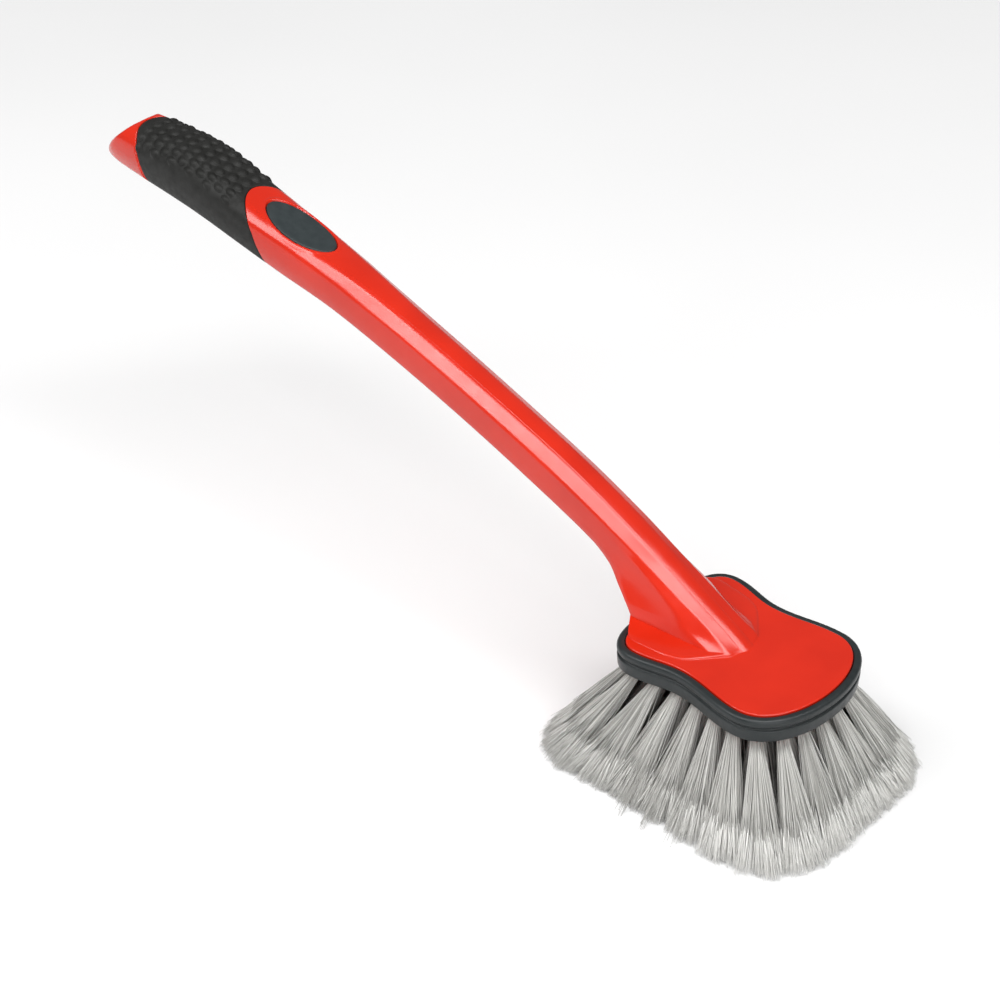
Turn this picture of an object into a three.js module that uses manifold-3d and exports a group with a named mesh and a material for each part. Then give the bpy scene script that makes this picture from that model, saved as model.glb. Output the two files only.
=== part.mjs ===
// A hand brush for washing wheels: a moulded plastic handle that grows out of a flat waisted
// head, a soft sleeve and a thumb pad on the grip, a soft bumper round the head, and bristle
// tufts set in blind holes in the underside of the head.
//
// Millimetres, +Z up. The bristle tips are trimmed flat at z = 0 and the origin is the middle of
// that trimmed face. The head lies flat above it, the handle runs back along -X and rises, and
// the brush is a mirror image of itself across the XZ plane.
import * as THREE from "three";
import { mergeVertices } from "three/addons/utils/BufferGeometryUtils.js";
import Module from "manifold-3d";

const wasm = await Module();
wasm.setup();

// ---- driving dimensions ------------------------------------------------------------------
const HEAD_TOP = 64; // the head's flat top above the trimmed bristle tips
const HEAD_THICKNESS = 13;
const HEAD_BOTTOM = HEAD_TOP - HEAD_THICKNESS;
const HEAD_HALF_LENGTH = 47.5; // the plastic plate, without its bumper
const HEAD_HALF_WIDTH = 36;
const FIT_GAP = 0.3; // clearance between any two neighbouring pieces

const BUMPER_WIDTH = 4; // how far the soft rim stands out from the plate
const BUMPER_HEIGHT = 12.4;

const CROWN_RISE = 0.03; // the handle's flat top falls by this part of its height to each side
const SLEEVE_WALL = 2.4;
const LOBE_HALF_WIDTH = 17.5; // the lobes at both ends of the sleeve, wider than the grip
const SLEEVE_LOBE_BOTTOM = 168;
const CORE_FRONT = -280; // the stretch of handle that is built under the sleeve
const CORE_REAR = -402;
const STRETCH_STEPS = 16;
const NUB_RADIUS = 2.1;
const NUB_HEIGHT = 1;
const NUB_PITCH = 6.4; // round the sleeve, and along it between rows
const NUB_ROWS = 10;
const NUB_FRONT = -320; // x of the front row

const PAD_HALF_LENGTH = 22.4;
const PAD_HALF_WIDTH = 10.1;
const PAD_DEPTH = 2;
const PAD_MIDDLE = [-281.3, 0, 169.7];
const PAD_TILT = THREE.MathUtils.degToRad(10.5); // it rises towards the butt

const TUFT_RADIUS = 2.6; // where a tuft leaves its hole
const HOLE_DEPTH = 8;
const TUFT_SIDES = 8;

// ---- solids ------------------------------------------------------------------------------
const vec3 = (x, y, z) => new THREE.Vector3(x, y, z);

function solidFrom(geometry) {
  const bare = geometry.index ? geometry.toNonIndexed() : geometry.clone();
  bare.deleteAttribute("normal");
  bare.deleteAttribute("uv");
  const merged = mergeVertices(bare, 1e-4);
  return new wasm.Manifold(
    new wasm.Mesh({
      numProp: 3,
      vertProperties: merged.attributes.position.array,
      triVerts: new Uint32Array(merged.index.array),
    }),
  );
}

function geometryFrom(solid) {
  const mesh = solid.getMesh();
  const geometry = new THREE.BufferGeometry();
  geometry.setAttribute("position", new THREE.BufferAttribute(mesh.vertProperties, 3));
  geometry.setIndex(new THREE.BufferAttribute(mesh.triVerts, 1));
  const flat = geometry.toNonIndexed();
  flat.computeVertexNormals();
  return flat;
}

// A skin over a stack of rings with the same number of points. The stack is closed by a fan at
// each end, or onto itself when it is a loop.
function skin(rings, isLoop = false) {
  const count = rings[0].length;
  const points = rings.flat();
  const triangles = [];
  const last = isLoop ? rings.length : rings.length - 1;
  for (let i = 0; i < last; i++) {
    const here = i * count;
    const next = ((i + 1) % rings.length) * count;
    for (let j = 0; j < count; j++) {
      const k = (j + 1) % count;
      triangles.push(here + j, here + k, next + k, here + j, next + k, next + j);
    }
  }
  if (!isLoop) {
    const end = (rings.length - 1) * count;
    const middles = [rings[0], rings[rings.length - 1]].map((ring) =>
      ring.reduce((sum, p) => sum.add(p), vec3(0, 0, 0)).divideScalar(count),
    );
    const first = points.push(middles[0]) - 1;
    const final = points.push(middles[1]) - 1;
    for (let j = 0; j < count; j++) {
      const k = (j + 1) % count;
      triangles.push(first, k, j);
      triangles.push(final, end + j, end + k);
    }
  }
  const geometry = new THREE.BufferGeometry().setFromPoints(points);
  geometry.setIndex(triangles);
  return solidFrom(geometry);
}

// A straight bar along Y whose side view is the given outline of [x, z] points.
function sideCut(outline, halfWidth = 40) {
  const shape = new THREE.Shape(outline.map(([x, z]) => new THREE.Vector2(x, z)));
  const geometry = new THREE.ExtrudeGeometry(shape, { depth: 2 * halfWidth, bevelEnabled: false });
  geometry.rotateX(Math.PI / 2);
  geometry.translate(0, halfWidth, 0);
  return solidFrom(geometry);
}

// ---- the head's waisted outline -----------------------------------------------------------
// One half, from the front middle round a wide front lobe, the waist and the rear lobe.
function headPath() {
  const half = new THREE.Path();
  half.moveTo(HEAD_HALF_LENGTH, 0);
  half.bezierCurveTo(HEAD_HALF_LENGTH, 18, 40, HEAD_HALF_WIDTH, 25, HEAD_HALF_WIDTH);
  half.bezierCurveTo(12, HEAD_HALF_WIDTH, 4, 31.5, -9, 31.5);
  half.bezierCurveTo(-19, 31.5, -26, 35.8, -35, 35.8);
  half.bezierCurveTo(-46, 35.8, -HEAD_HALF_LENGTH, 24, -HEAD_HALF_LENGTH, 0);
  return half;
}

// The whole outline as evenly spaced points, anticlockwise from the front middle.
function headOutline(count) {
  const half = headPath().getSpacedPoints(count / 2);
  const other = half.slice(1, -1).map((p) => new THREE.Vector2(p.x, -p.y));
  return [...half, ...other.reverse()];
}

function pushedOut(outline, distance) {
  return outline.map((p, i) => {
    const before = outline[(i + outline.length - 1) % outline.length];
    const after = outline[(i + 1) % outline.length];
    const along = after.clone().sub(before).normalize();
    return new THREE.Vector2(p.x + along.y * distance, p.y - along.x * distance);
  });
}

// A plate-like solid from levels of [how far out from the outline, z], bottom first.
function plateFrom(levels, count) {
  const outline = headOutline(count);
  return skin(
    levels.map(([out, z]) => pushedOut(outline, out).map((p) => vec3(p.x, p.y, z))),
  );
}

// A ring round the outline whose section is a closed loop of [how far out, z].
function ringFrom(section, count) {
  const outline = headOutline(count);
  const offsets = section.map(([out]) => pushedOut(outline, out));
  const rings = outline.map((_, i) =>
    section.map(([, z], j) => vec3(offsets[j][i].x, offsets[j][i].y, z)),
  );
  return skin(rings, true);
}

const OUTLINE_POINTS = 72;
const GROOVE_TOP = HEAD_TOP - 4.2;
const GROOVE_BOTTOM = HEAD_TOP - 8;
const GROOVE_DEPTH = 1.6;
const BEAD_STEPS = 6;
const BEAD_ARC = 1.2 * Math.PI;
const PLATE_EDGE = 0.8; // the bevel along the plate's edges

function headPlate() {
  return plateFrom(
    [
      [-PLATE_EDGE, HEAD_BOTTOM],
      [0, HEAD_BOTTOM + PLATE_EDGE],
      [0, GROOVE_BOTTOM],
      [-GROOVE_DEPTH, GROOVE_BOTTOM],
      [-GROOVE_DEPTH, GROOVE_TOP],
      [0, GROOVE_TOP],
      [0, HEAD_TOP - PLATE_EDGE],
      [-PLATE_EDGE, HEAD_TOP],
    ],
    OUTLINE_POINTS,
  );
}

// The bumper: a rounded bead above a shallow groove and a flat skirt, with a rib on its inside
// that sits in the plate's groove. Its section runs over the bead and down the outside first.
function headBumper() {
  const top = HEAD_TOP - 0.5;
  const bottom = top - BUMPER_HEIGHT;
  const beadRadius = BUMPER_WIDTH / 2;
  const beadMiddle = top - beadRadius;
  const inner = FIT_GAP;
  const section = [];
  for (let step = 0; step <= BEAD_STEPS; step++) {
    const angle = Math.PI - (step / BEAD_STEPS) * BEAD_ARC;
    const across = beadRadius + inner / 2 + Math.cos(angle) * (beadRadius - inner / 2);
    section.push([across, beadMiddle + Math.sin(angle) * beadRadius]);
  }
  section.push([BUMPER_WIDTH - 1, beadMiddle - 2.2]); // the groove under the bead
  section.push([BUMPER_WIDTH - 0.3, beadMiddle - 3.2]); // the skirt
  section.push([BUMPER_WIDTH - 0.7, bottom + 0.8]);
  section.push([BUMPER_WIDTH - 1.5, bottom]);
  section.push([inner, bottom]);
  section.push([inner, GROOVE_BOTTOM + FIT_GAP]); // the rib
  section.push([inner - GROOVE_DEPTH, GROOVE_BOTTOM + FIT_GAP]);
  section.push([inner - GROOVE_DEPTH, GROOVE_TOP - FIT_GAP]);
  section.push([inner, GROOVE_TOP - FIT_GAP]);
  return ringFrom(section, OUTLINE_POINTS);
}

// ---- the handle ---------------------------------------------------------------------------
// The handle is a smooth skin over ribs. Each rib lies in a plane across the handle, from its
// top point to its base point, both [x, z]. Its half outline has a flat top, a shoulder, a flank
// and a heel. The last three are [half width, how far down from top to base, 0 to 1], and
// `round` is how much of each side of the heel its rounding takes.
function rib(top, base, flat, shoulder, flank, heel, round) {
  return { top, base, flat, shoulder, flank, heel, round };
}

// The web's foot, where a low skirt spreads over the head and leaves a crease round the web.
const CREASE = rib([0.6, 65.4], [-52.8, 65.1], 4.4, [10.2, 0.045], [15.6, 0.19], [19.4, 1], 0.12);
const SKIRT_RIBS = [
  rib([4.6, HEAD_TOP - 1], [-46.3, HEAD_TOP - 1], 4.5, [10.3, 0.07], [29.5, 0.38], [33, 0.97], 0.3),
  rib([2.2, 64.5], [-47.4, 64.5], 4.4, [10.2, 0.055], [28.2, 0.37], [31.2, 0.98], 0.27),
  CREASE,
];
// The web narrows into the shaft, and the shaft widens into the grip and ends in a rounded butt.
const HANDLE_RIBS = [
  CREASE,
  rib([-9, 71], [-57.9, 70.5], 4.4, [9.6, 0.07], [14.8, 0.31], [18.2, 1], 0.15),
  rib([-24, 78.9], [-64.5, 75.3], 4.6, [9.6, 0.09], [13.4, 0.24], [16, 1], 0.21),
  rib([-45, 90], [-72.4, 80.3], 4.8, [10.2, 0.15], [12, 0.3], [13.2, 1], 0.35),
  rib([-66, 100.7], [-83.2, 85.4], 5, [10.8, 0.19], [11.4, 0.4], [11.4, 1], 0.45),
  rib([-100, 115.7], [-109.6, 95.4], 5, [11.1, 0.22], [11.1, 0.6], [10.5, 1], 0.48),
  rib([-150, 133.2], [-158, 112.2], 5, [11.1, 0.22], [11.1, 0.6], [10.5, 1], 0.48),
  rib([-200, 149.2], [-207, 127.3], 5.2, [11.3, 0.22], [11.5, 0.6], [10.8, 1], 0.48),
  rib([-245, 162.3], [-251, 139.3], 7.5, [12.6, 0.22], [13, 0.6], [11.5, 1], 0.48),
  rib([-281, 169.6], [-286, 145.7], 10.8, [14.4, 0.2], [14.9, 0.6], [12.5, 1], 0.48),
  rib([-312, 177], [-316, 151.9], 11, [16, 0.22], [16.3, 0.6], [13.5, 1], 0.48),
  rib([-345, 186], [-348, 157.1], 11, [16.5, 0.24], [16.7, 0.6], [13.5, 1], 0.48),
  rib([-381, 187.4], [-382, 160.1], 10, [15.2, 0.25], [15.6, 0.6], [12.6, 1], 0.48),
  rib([-404, 186.5], [-404, 161], 9, [13.4, 0.27], [13.6, 0.6], [10.2, 1], 0.48),
  rib([-424, 184], [-424, 163.5], 5, [8, 0.3], [8, 0.6], [6, 1], 0.48),
];
const STEPS_PER_RIB = 3;

// A corner of a half outline, rounded by a quadratic curve that takes `share` of each side.
function roundedCorner(before, corner, after, share, steps) {
  const from = corner.clone().lerp(before, share);
  const to = corner.clone().lerp(after, share);
  return new THREE.QuadraticBezierCurve(from, corner, to).getPoints(steps);
}

// Smooth curves through every rib's points and sizes. A place on them runs from 0 to 1.
function curvesThrough(ribs) {
  const curve = (pick) => {
    const points = ribs.map((each) => vec3(...pick(each)));
    return new THREE.CatmullRomCurve3(points, false, "centripetal");
  };
  return {
    top: curve(({ top }) => [top[0], 0, top[1]]),
    base: curve(({ base }) => [base[0], 0, base[1]]),
    width: curve(({ shoulder, flank, heel }) => [shoulder[0], flank[0], heel[0]]),
    drop: curve(({ shoulder, flank, heel }) => [shoulder[1], flank[1], heel[1]]),
    crown: curve(({ flat, round }) => [flat, round, 0]),
  };
}

const SKIRT = curvesThrough(SKIRT_RIBS);
const HANDLE = curvesThrough(HANDLE_RIBS);

// The place on the handle whose top point is at x.
function placeAt(x) {
  let near = 0;
  let far = 1;
  while (far - near > 1e-5) {
    const middle = (near + far) / 2;
    if (HANDLE.top.getPoint(middle).x > x) {
      near = middle;
    } else {
      far = middle;
    }
  }
  return near;
}

// The section at a place, shrunk all round by `inset`, as points from the crown and back to it.
function sectionAt(curves, place, inset = 0) {
  const top = curves.top.getPoint(place);
  const down = curves.base.getPoint(place).sub(top);
  const height = down.length();
  down.normalize();
  const width = curves.width.getPoint(place);
  const drop = curves.drop.getPoint(place);
  const { x: flatWidth, y: round } = curves.crown.getPoint(place);
  const corner = (across, part) =>
    new THREE.Vector2(across - inset, inset + part * (height - 2 * inset));
  const crown = new THREE.Vector2(0, inset);
  const flat = corner(flatWidth, CROWN_RISE);
  const shoulder = corner(width.x, drop.x);
  const flank = corner(width.y, drop.y);
  const heel = corner(width.z, drop.z);
  const sole = new THREE.Vector2(0, height - inset);
  const half = [
    crown,
    ...roundedCorner(crown, flat, shoulder, 0.2, 2),
    ...roundedCorner(flat, shoulder, flank, 0.16, 2),
    flank,
    ...roundedCorner(flank, heel, sole, round, 4),
    sole,
  ];
  const mirrored = half.slice(1, -1).map((p) => new THREE.Vector2(-p.x, p.y));
  return [...half, ...mirrored.reverse()].map((p) =>
    top.clone().addScaledVector(down, p.y).add(vec3(0, p.x, 0)),
  );
}

function ringsAlong(curves, from, to, steps, inset) {
  const rings = [];
  for (let step = 0; step <= steps; step++) {
    rings.push(sectionAt(curves, THREE.MathUtils.lerp(from, to, step / steps), inset));
  }
  return rings;
}

// A stretch of the handle between two x positions, shrunk all round by `inset`.
function handleStretch(fromX, toX, inset = 0) {
  return skin(ringsAlong(HANDLE, placeAt(fromX), placeAt(toX), STRETCH_STEPS, inset));
}

// ---- cuts across the handle ---------------------------------------------------------------
// Side views as [x, z] from top to bottom: the sleeve's two slanted ends, and the butt's end.
const SLEEVE_FRONT = [[-302, 194], [-302, 168.5], [-298.5, 160], [-291, 110]];
const SLEEVE_REAR = [[-391, 196], [-391, 183], [-382.5, 176], [-376, 150], [-374, 120]];
const BUTT_TOP = [-390.5, 187];
const BUTT_NOSE = [-418.5, 160.1];
const BUTT_ROUNDING = [[3, 6.5], [2, 3], [4.5, -1], [14, -3], [14, -40]]; // beyond the nose
const BEHIND_ALL = -470;
const ABOVE_ALL = 230;

function shifted(line, dx) {
  return line.map(([x, z]) => [x + dx, z]);
}

// An upright block from `bottom` upwards. In plan one end is a rounded lobe from (sideX, width)
// by way of (tipX, 0), and the other end is straight at endX.
function lobeBlock(sideX, tipX, endX, bottom) {
  const width = LOBE_HALF_WIDTH;
  const reach = tipX - sideX;
  const outline = new THREE.Shape();
  outline.moveTo(endX, -width);
  outline.lineTo(sideX, -width);
  outline.bezierCurveTo(sideX + 0.3 * reach, -0.76 * width, tipX, -0.5 * width, tipX, 0);
  outline.bezierCurveTo(tipX, 0.5 * width, sideX + 0.3 * reach, 0.76 * width, sideX, width);
  outline.lineTo(endX, width);
  const options = { depth: ABOVE_ALL - bottom, bevelEnabled: false, curveSegments: 8 };
  const geometry = new THREE.ExtrudeGeometry(outline, options);
  geometry.translate(0, 0, bottom);
  return solidFrom(geometry);
}

// Everything between the sleeve's two ends, `grow` longer at each. The handle's red top runs
// back into the sleeve's front in a lobe, and the sleeve's rear runs back the same way.
function sleeveZone(grow) {
  const between = [...shifted(SLEEVE_FRONT, grow), ...shifted(SLEEVE_REAR, -grow).reverse()];
  const frontLobe = lobeBlock(-299.5 + grow, -315 + grow, -280, SLEEVE_LOBE_BOTTOM);
  const rearLobe = lobeBlock(-381 - grow, -391 - grow, -280, 0);
  return sideCut(between).subtract(frontLobe).intersect(rearLobe);
}

// What the slanted, rounded butt leaves away.
function behindButt() {
  const rounding = BUTT_ROUNDING.map(([dx, dz]) => [BUTT_NOSE[0] + dx, BUTT_NOSE[1] + dz]);
  const lowest = rounding[rounding.length - 1][1];
  return sideCut([
    [2 * BUTT_TOP[0] - BUTT_NOSE[0], 2 * BUTT_TOP[1] - BUTT_NOSE[1]],
    ...rounding,
    [BEHIND_ALL, lowest],
    [BEHIND_ALL, ABOVE_ALL],
    [2 * BUTT_TOP[0] - BUTT_NOSE[0], ABOVE_ALL],
  ]);
}

// An oval block in the plane of the thumb pad, `grow` larger all round than the pad.
function padSolid(bottom, top, grow) {
  const oval = new THREE.Shape();
  oval.absellipse(0, 0, PAD_HALF_LENGTH + grow, PAD_HALF_WIDTH + grow, 0, 2 * Math.PI, false, 0);
  const options = { depth: top - bottom, bevelEnabled: false, curveSegments: 32 };
  const geometry = new THREE.ExtrudeGeometry(oval, options);
  geometry.translate(0, 0, bottom);
  geometry.rotateY(PAD_TILT);
  geometry.translate(...PAD_MIDDLE);
  return solidFrom(geometry);
}

function handleBody(holes) {
  const rings = [
    ...ringsAlong(SKIRT, 0, 1, 2 * STEPS_PER_RIB),
    ...ringsAlong(HANDLE, 0, 1, (HANDLE_RIBS.length - 1) * STEPS_PER_RIB).slice(1),
  ];
  let body = skin(rings)
    .subtract(sleeveZone(FIT_GAP))
    .add(handleStretch(CORE_FRONT, CORE_REAR, SLEEVE_WALL + FIT_GAP))
    .subtract(behindButt())
    .add(headPlate())
    .subtract(padSolid(-PAD_DEPTH - FIT_GAP, SLEEVE_WALL + PAD_DEPTH, FIT_GAP));
  for (const hole of holes) {
    body = body.subtract(hole);
  }
  return body;
}

// ---- the grip sleeve ----------------------------------------------------------------------
// A point on a section's outline at a distance round it from the crown, and the way out there.
function onSection(section, distance) {
  const side = distance < 0 ? [section[0], ...section.slice(1).reverse()] : section;
  let left = Math.abs(distance);
  let i = 0;
  while (left > side[i].distanceTo(side[i + 1])) {
    left -= side[i].distanceTo(side[i + 1]);
    i += 1;
  }
  const along = side[i + 1].clone().sub(side[i]).normalize();
  const point = side[i].clone().addScaledVector(along, left);
  const upward = side[0].clone().sub(side[side.length / 2]);
  const lengthwise = upward.cross(vec3(0, 1, 0)).normalize();
  const out = along.cross(lengthwise).multiplyScalar(Math.sign(distance) || 1).normalize();
  return { point, out };
}

function nub({ point, out }) {
  const sunk = NUB_HEIGHT * 0.6;
  const cone = new THREE.CylinderGeometry(NUB_RADIUS / 2, NUB_RADIUS, NUB_HEIGHT + sunk, 6);
  cone.translate(0, (NUB_HEIGHT - sunk) / 2, 0);
  cone.applyQuaternion(new THREE.Quaternion().setFromUnitVectors(vec3(0, 1, 0), out));
  cone.translate(point.x, point.y, point.z);
  return solidFrom(cone);
}

// Low nubs in staggered rows over the top and shoulders of the sleeve.
function nubs() {
  const solids = [];
  for (let row = 0; row < NUB_ROWS; row++) {
    const section = sectionAt(HANDLE, placeAt(NUB_FRONT - row * NUB_PITCH));
    const stagger = row % 2 ? NUB_PITCH / 2 : 0;
    for (let across = stagger - 2 * NUB_PITCH; across <= 2.5 * NUB_PITCH; across += NUB_PITCH) {
      solids.push(nub(onSection(section, across)));
    }
  }
  return solids;
}

function gripSleeve() {
  let sleeve = handleStretch(CORE_FRONT, CORE_REAR)
    .intersect(sleeveZone(0))
    .subtract(handleStretch(CORE_FRONT + 2, CORE_REAR - 2, SLEEVE_WALL))
    .subtract(behindButt());
  for (const each of nubs()) {
    sleeve = sleeve.add(each);
  }
  return sleeve;
}

// ---- bristle tufts ------------------------------------------------------------------------
// Rings of tufts: how many, how far the holes sit in from the plate's edge, the half length and
// half width of the rounded rectangle that their tips spread to, and the half length and half
// width of each tuft's own tip.
const TUFT_RINGS = [
  { name: "outer", count: 24, inset: 5.5, reach: [69, 57.5], spread: [8, 8.8] },
  { name: "middle", count: 16, inset: 15, reach: [52, 40], spread: [8.2, 9] },
  { name: "inner", count: 10, inset: 24.5, reach: [34, 21.5], spread: [8, 8.6] },
];
const CENTRE_ROW = { name: "centre", pitch: 12, reach: 16.5, spread: [7.6, 7.2] };
const REACH_SQUARENESS = 4.6; // 2 would make the tips' outline an ellipse

// Evenly spaced points on a rounded rectangle, anticlockwise from +X.
function roundedRectangle([a, b], count) {
  const power = 2 / REACH_SQUARENESS;
  const reach = (part) => Math.sign(part) * Math.abs(part) ** power;
  const fine = [];
  for (let degree = 0; degree <= 360; degree++) {
    const angle = THREE.MathUtils.degToRad(degree);
    fine.push(new THREE.Vector2(a * reach(Math.cos(angle)), b * reach(Math.sin(angle))));
  }
  return new THREE.SplineCurve(fine).getSpacedPoints(count).slice(0, count);
}

// The unit vector up a tuft, from its tip on the trimmed face to its root in the head.
function tuftAxis({ root, tip }) {
  return vec3(root.x - tip.x, root.y - tip.y, HEAD_BOTTOM).normalize();
}

// A tuft as one closed solid: an oval tip on the trimmed face that gathers to a round bundle at
// the mouth of its hole, and goes on up the hole.
function tuft(place) {
  const { root, spread, turn } = place;
  const axis = tuftAxis(place);
  const level = (z, halfX, halfY) => {
    const rise = (z - HEAD_BOTTOM) / axis.z;
    const ring = [];
    for (let i = 0; i < TUFT_SIDES; i++) {
      const angle = (i / TUFT_SIDES) * 2 * Math.PI;
      const across = new THREE.Vector2(halfX * Math.cos(angle), halfY * Math.sin(angle));
      across.rotateAround(new THREE.Vector2(), turn);
      ring.push(vec3(root.x + axis.x * rise + across.x, root.y + axis.y * rise + across.y, z));
    }
    return ring;
  };
  const bundle = TUFT_RADIUS - FIT_GAP;
  const end = HEAD_BOTTOM + HOLE_DEPTH * axis.z - TUFT_RADIUS;
  return skin([
    level(0, ...spread),
    level(HEAD_BOTTOM, bundle, bundle),
    level(end, bundle, bundle),
  ]);
}

function tuftHole(place) {
  const axis = tuftAxis(place);
  const radius = TUFT_RADIUS + FIT_GAP / 2;
  const length = HOLE_DEPTH + TUFT_RADIUS; // it starts below the plate, to cut a clean mouth
  const hole = new THREE.CylinderGeometry(radius, radius, length, TUFT_SIDES);
  hole.translate(0, length / 2 - TUFT_RADIUS, 0);
  hole.applyQuaternion(new THREE.Quaternion().setFromUnitVectors(vec3(0, 1, 0), axis));
  hole.translate(place.root.x, place.root.y, HEAD_BOTTOM);
  return solidFrom(hole);
}

// The tufts of one ring. Their holes follow the head's outline and their tips the rectangle.
function ringPlaces({ name, count, inset, reach, spread }) {
  const lengthwise = 1 - inset / HEAD_HALF_LENGTH;
  const crosswise = 1 - inset / (HEAD_HALF_WIDTH - 2);
  const roots = headOutline(count);
  const tips = roundedRectangle(reach, count);
  return roots.map((p, i) => {
    const before = tips[(i + count - 1) % count];
    const after = tips[(i + 1) % count];
    return {
      name: `tuft_${name}_${String(i + 1).padStart(2, "0")}`,
      root: new THREE.Vector2(p.x * lengthwise, p.y * crosswise),
      tip: tips[i],
      spread,
      turn: Math.atan2(after.y - before.y, after.x - before.x) - Math.PI / 2,
    };
  });
}

function centrePlaces({ name, pitch, reach, spread }) {
  return [-1, 0, 1].map((step) => ({
    name: `tuft_${name}_${step + 2}`,
    root: new THREE.Vector2(step * pitch, 0),
    tip: new THREE.Vector2(step * reach, 0),
    spread,
    turn: 0,
  }));
}

// ---- assembly -----------------------------------------------------------------------------
const redPlastic = { color: 0xe23322, roughness: 0.25, metalness: 0 };
const blackSoft = { color: 0x2c2f30, roughness: 0.8, metalness: 0 };
const slateSoft = { color: 0x39444a, roughness: 0.6, metalness: 0 };
const greyBristle = { color: 0xaeaba6, roughness: 0.7, metalness: 0 };

const brush = new THREE.Group();

function add(name, solid, look) {
  const mesh = new THREE.Mesh(geometryFrom(solid), new THREE.MeshStandardMaterial(look));
  mesh.name = name;
  brush.add(mesh);
}

const places = [...TUFT_RINGS.flatMap(ringPlaces), ...centrePlaces(CENTRE_ROW)];
add("handle_and_head", handleBody(places.map(tuftHole)), redPlastic);
add("head_bumper", headBumper(), blackSoft);
add("grip_sleeve", gripSleeve(), blackSoft);
add("thumb_pad", padSolid(-PAD_DEPTH, 0, 0), slateSoft);
for (const place of places) {
  add(place.name, tuft(place), greyBristle);
}

export default brush;
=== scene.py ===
import math

import bmesh
import bpy
import numpy as np
from mathutils import Matrix, Vector
from mathutils.bvhtree import BVHTree


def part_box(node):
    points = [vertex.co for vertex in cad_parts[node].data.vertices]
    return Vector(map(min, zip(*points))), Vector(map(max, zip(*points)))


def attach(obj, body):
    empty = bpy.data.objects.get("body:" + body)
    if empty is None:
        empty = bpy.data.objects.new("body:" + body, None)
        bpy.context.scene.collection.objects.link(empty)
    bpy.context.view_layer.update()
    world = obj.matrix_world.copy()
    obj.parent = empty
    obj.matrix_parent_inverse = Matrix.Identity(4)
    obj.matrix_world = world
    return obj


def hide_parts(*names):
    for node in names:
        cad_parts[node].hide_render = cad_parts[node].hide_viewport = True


# A wheel brush: a glossy red moulded handle and head, a nubbed rubber sleeve and a thumb pad on
# the grip, a rubber bumper round the head, and 53 tufts of flagged grey bristles.
# Shapes are worked out in millimetres and become metres when a piece is made.
# +X is the front of the head, +Z is up, and the bristle tips stand on z = 0.
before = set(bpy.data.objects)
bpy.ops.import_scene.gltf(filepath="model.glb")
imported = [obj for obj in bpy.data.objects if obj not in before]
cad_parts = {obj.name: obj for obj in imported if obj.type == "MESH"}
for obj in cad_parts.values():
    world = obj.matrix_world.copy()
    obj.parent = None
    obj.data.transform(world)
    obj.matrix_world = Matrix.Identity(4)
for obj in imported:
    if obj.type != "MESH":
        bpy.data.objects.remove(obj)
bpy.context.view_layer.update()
rng = np.random.default_rng(7)

MM = 0.001


def node_box(node):
    """A CAD node's low and high corners in millimetres."""
    low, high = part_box(node)
    return np.array(low) / MM, np.array(high) / MM


# ---- driving dimensions, from the frame --------------------------------------------------
BUMPER_WIDTH = 4.0
RIM_ALLOWANCE = 0.1  # the CAD rim's straight steps fall short of its curve by less than this
bumper_low, bumper_high = node_box("head_bumper")
HEAD_HALF_LENGTH = bumper_high[0] - BUMPER_WIDTH
HEAD_HALF_WIDTH = bumper_high[1] - BUMPER_WIDTH + RIM_ALLOWANCE
BUMPER_TOP = bumper_high[2]
BUMPER_BOTTOM = bumper_low[2]
HEAD_TOP = round(BUMPER_TOP) + 1.0
HEAD_BOTTOM = round(BUMPER_BOTTOM)
FIT_GAP = 0.3
PLATE_EDGE = 0.6  # radius of the plate's rounded edges
GROOVE_TOP = HEAD_TOP - 4.2
GROOVE_BOTTOM = HEAD_TOP - 8
GROOVE_DEPTH = 1.6
SLEEVE_WALL = 2.4


# ---- curves and meshes -------------------------------------------------------------------
def mix(a, b, share):
    return a + (b - a) * share


def smooth_step(low, high, value):
    part = np.clip((value - low) / (high - low), 0, 1)
    return part * part * (3 - 2 * part)


def curve_through(points, places):
    """A smooth curve through the points, at places from 0 to 1 (centripetal Catmull-Rom)."""
    points = np.asarray(points, float)
    padded = np.vstack([2 * points[0] - points[1], points, 2 * points[-1] - points[-2]])
    at = np.clip(places, 0, 1) * (len(points) - 1)
    first = np.minimum(at.astype(int), len(points) - 2)
    part = (at - first)[:, None]
    p0, p1, p2, p3 = (padded[first + k] for k in range(4))

    def knot_gap(a, b, otherwise):
        gap = np.sqrt(np.linalg.norm(b - a, axis=1))[:, None]
        return np.where(gap < 1e-4, otherwise, gap)

    g1 = knot_gap(p1, p2, 1.0)
    g0 = knot_gap(p0, p1, g1)
    g2 = knot_gap(p2, p3, g1)
    start = ((p1 - p0) / g0 - (p2 - p0) / (g0 + g1) + (p2 - p1) / g1) * g1
    end = ((p2 - p1) / g1 - (p3 - p1) / (g1 + g2) + (p3 - p2) / g2) * g1
    square, cube = part**2, part**3
    return (
        p1 * (2 * cube - 3 * square + 1)
        + p2 * (3 * square - 2 * cube)
        + start * (cube - 2 * square + part)
        + end * (cube - square)
    )


def bezier(points, part):
    """A point on a quadratic or cubic Bezier curve."""
    while len(points) > 1:
        points = [mix(a, b, part) for a, b in zip(points, points[1:])]
    return points[0]


def ring_faces(rows, count, is_loop=False):
    """Quads between neighbouring rings of `count` points each."""
    last = rows if is_loop else rows - 1
    i, j = np.meshgrid(np.arange(last), np.arange(count), indexing="ij")
    next_i, next_j = (i + 1) % rows, (j + 1) % count
    corners = [i * count + j, i * count + next_j, next_i * count + next_j, next_i * count + j]
    return np.stack(corners, -1).reshape(-1, 4).tolist()


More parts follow.
